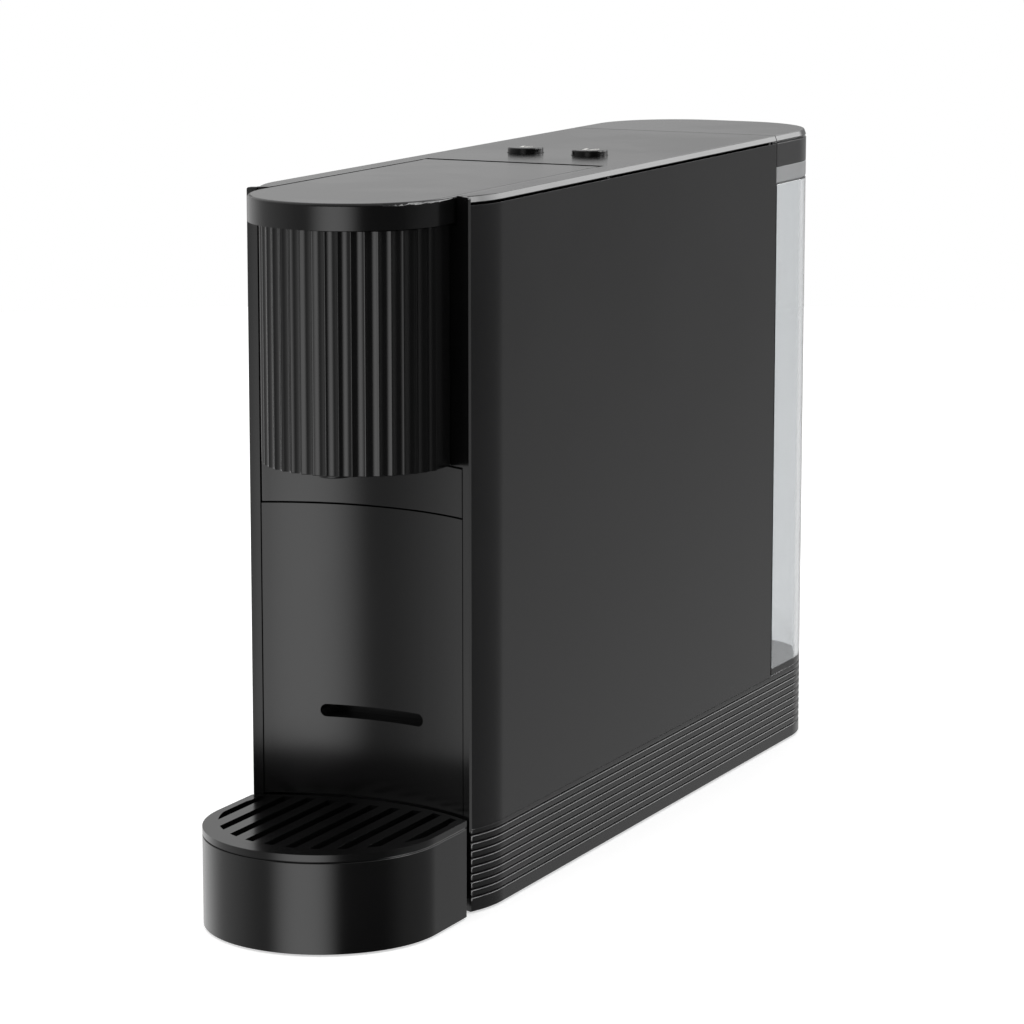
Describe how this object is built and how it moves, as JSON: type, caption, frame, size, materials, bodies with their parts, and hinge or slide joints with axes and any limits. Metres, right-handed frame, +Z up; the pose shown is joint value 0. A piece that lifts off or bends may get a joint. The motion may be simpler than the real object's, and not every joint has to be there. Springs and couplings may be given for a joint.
{
  "type": "pod coffee machine",
  "caption": "Slim pod coffee machine with a fluted brewing head, hinged lid, push buttons, used-pod drawer, sliding drip tray with slotted cover and clear lift-off water tank.",
  "frame": {"origin": "on the table, under the middle of the machine's footprint from drip tray front to tank rear", "axes": "+Z up, -Y towards the front where the coffee comes out, +X to the right of the machine as seen from its front view looking along +Y"},
  "size_m": [0.093, 0.418, 0.2623],
  "materials": {
    "charcoal_plastic": "satin, fine texture",
    "dark_plastic": "satin",
    "button_gloss": "gloss with pale icons",
    "clear_tank": "clear, polished",
    "collar_grey": "satin, slightly translucent",
    "spout_black": "satin",
    "inner_plastic": "moulded, matte",
    "soft_rubber": "matte",
    "hose_silicone": "milky",
    "steel": "bright",
    "cast_aluminium": "as cast",
    "board_green": "solder resist",
    "switch_black": "moulded"
  },
  "bodies": {
    "housing": {"ribbed_base": "charcoal_plastic", "bottom_plate": "inner_plastic", "base_screws": "steel", "feet": "soft_rubber", "cord_gland": "soft_rubber", "right_side_cover": "charcoal_plastic", "left_side_cover": "charcoal_plastic", "top_cover": "charcoal_plastic", "hinge_pin": "steel", "rear_wall": "charcoal_plastic", "front_frame": "dark_plastic", "bay_panel": "dark_plastic", "fluted_drum": "dark_plastic", "inner_deck": "dark_plastic", "brew_frame": "inner_plastic", "pod_cage": "inner_plastic", "injector_head": "steel", "coffee_funnel": "spout_black", "spout": "spout_black", "middle_shelf": "inner_plastic", "bin_bay": "inner_plastic", "tank_seat": "inner_plastic", "seat_seal": "soft_rubber", "control_board": "board_green", "switches": "switch_black", "pump": "inner_plastic", "pump_mounts": "soft_rubber", "flow_meter": "inner_plastic", "heater_block": "cast_aluminium", "thermostat": "steel", "tank_hose": "hose_silicone", "meter_hose": "hose_silicone", "pressure_hose": "hose_silicone", "brew_hose": "hose_silicone"},
    "lid": {"lid_shell": "charcoal_plastic", "lid_liner": "dark_plastic"},
    "brew_carriage": {"brew_carriage": "inner_plastic", "extraction_plate": "steel", "pod_seal": "soft_rubber", "drive_pins": "steel"},
    "left_button": {"left_button": "button_gloss"},
    "right_button": {"right_button": "button_gloss"},
    "pod_drawer": {"drawer_front": "dark_plastic", "pod_bin": "inner_plastic", "grip_pocket": "dark_plastic"},
    "drip_tray": {"drip_tray": "dark_plastic", "tray_feet": "soft_rubber"},
    "drip_grid": {"drip_grid": "dark_plastic"},
    "water_tank": {"tank_vessel": "clear_tank", "tank_collar": "collar_grey", "tank_valve": "inner_plastic"},
    "tank_lid": {"tank_lid": "charcoal_plastic"}
  },
  "joints": [
    {"name": "lid_hinge", "type": "hinge", "parent": "housing", "child": "lid", "pos_m": [0, -0.012, 0.2565], "axis": [-1, 0, 0], "range_deg": [0, 85]},
    {"name": "carriage_slide", "type": "slide", "parent": "housing", "child": "brew_carriage", "axis": [0, -1, 0], "range_m": [0, 0.03001]},
    {"name": "left_button_press", "type": "slide", "parent": "housing", "child": "left_button", "axis": [0, 0, -1], "range_m": [0, 0.0012], "stiffness_N_per_m": 600},
    {"name": "right_button_press", "type": "slide", "parent": "housing", "child": "right_button", "axis": [0, 0, -1], "range_m": [0, 0.0012], "stiffness_N_per_m": 600},
    {"name": "drawer_slide", "type": "slide", "parent": "housing", "child": "pod_drawer", "axis": [0, -1, 0], "range_m": [0, 0.095]},
    {"name": "tray_slide", "type": "slide", "parent": "housing", "child": "drip_tray", "axis": [0, -1, 0], "range_m": [0, 0.06]},
    {"name": "grid_lift", "type": "slide", "parent": "drip_tray", "child": "drip_grid", "axis": [0, 0, -1], "range_m": [-0.04, 0]},
    {"name": "tank_lift", "type": "slide", "parent": "housing", "child": "water_tank", "axis": [0, 0, 1], "range_m": [0, 0.06]},
    {"name": "tank_lid_lift", "type": "slide", "parent": "water_tank", "child": "tank_lid", "axis": [0, 0, 1], "range_m": [0, 0.03]}
  ],
  "couplings": [
    {"joint": "carriage_slide", "follows": "lid_hinge", "m_per_rad": 0.020222}
  ]
}
